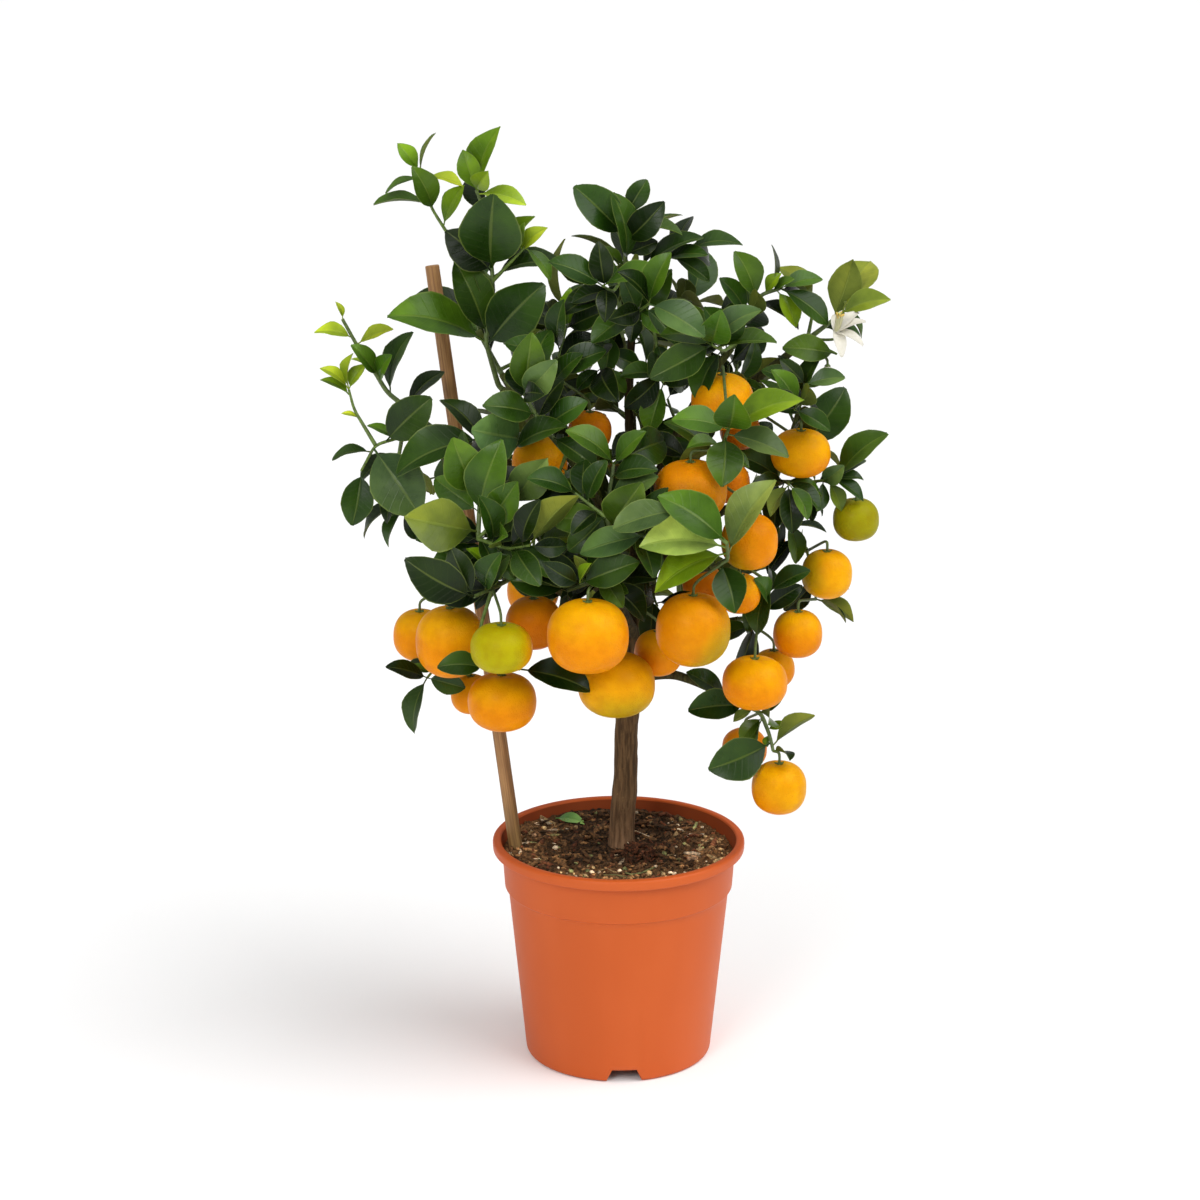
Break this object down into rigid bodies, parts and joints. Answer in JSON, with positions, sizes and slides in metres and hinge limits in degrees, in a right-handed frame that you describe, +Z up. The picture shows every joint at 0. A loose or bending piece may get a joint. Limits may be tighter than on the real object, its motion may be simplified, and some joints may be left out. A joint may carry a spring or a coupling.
{
  "type": "potted calamondin tree",
  "caption": "Small citrus tree with orange fruit, glossy leaves and white blossom, grown beside a wooden stake in a round nursery pot.",
  "frame": {"origin": "centre of the pot's foot, on the surface that the pot stands on", "axes": "+Z up along the pot's axis, with the side that the picture shows towards -Y"},
  "size_m": [0.3673, 0.3112, 0.6288],
  "materials": {
    "pot_plastic": "satin",
    "soil": "matte",
    "stake_wood": "matte",
    "bark": "matte",
    "leaf": "satin",
    "fruit_skin": "satin",
    "petal": "matte",
    "faded_leaf": "matte"
  },
  "bodies": {
    "root": {"fallen_leaf": "faded_leaf", "flower": "petal", "flower_bud_1": "petal", "flower_bud_2": "petal", "fruit_01": "fruit_skin", "fruit_02": "fruit_skin", "fruit_03": "fruit_skin", "fruit_04": "fruit_skin", "fruit_05": "fruit_skin", "fruit_06": "fruit_skin", "fruit_07": "fruit_skin", "fruit_08": "fruit_skin", "fruit_09": "fruit_skin", "fruit_10": "fruit_skin", "fruit_11": "fruit_skin", "fruit_12": "fruit_skin", "fruit_13": "fruit_skin", "fruit_14": "fruit_skin", "fruit_15": "fruit_skin", "fruit_16": "fruit_skin", "fruit_17": "fruit_skin", "fruit_18": "fruit_skin", "fruit_19": "fruit_skin", "fruit_20": "fruit_skin", "fruit_21": "fruit_skin", "fruit_22": "fruit_skin", "fruit_23": "fruit_skin", "fruit_24": "fruit_skin", "fruit_25": "fruit_skin", "fruit_26": "fruit_skin", "fruit_27": "fruit_skin", "fruit_28": "fruit_skin", "fruit_29": "fruit_skin", "fruit_30": "fruit_skin", "leafy_stem_back_far": "leaf", "leafy_stem_back_left": "leaf", "leafy_stem_back_low": "leaf", "leafy_stem_back_right": "leaf", "leafy_stem_back_top": "leaf", "leafy_stem_blossom_stem": "leaf", "leafy_stem_centre": "leaf", "leafy_stem_crown_left": "leaf", "leafy_stem_crown_mid": "leaf", "leafy_stem_crown_right": "leaf", "leafy_stem_front_left": "leaf", "leafy_stem_front_mid": "leaf", "leafy_stem_front_right": "leaf", "leafy_stem_left": "leaf", "leafy_stem_low_front": "leaf", "leafy_stem_low_left": "leaf", "leafy_stem_lowest_right": "leaf", "leafy_stem_right": "leaf", "leafy_stem_right_low": "leaf", "leafy_stem_right_mid": "leaf", "pot": "pot_plastic", "soil": "soil", "stake": "stake_wood", "trunk": "bark"}
  },
  "joints": []
}
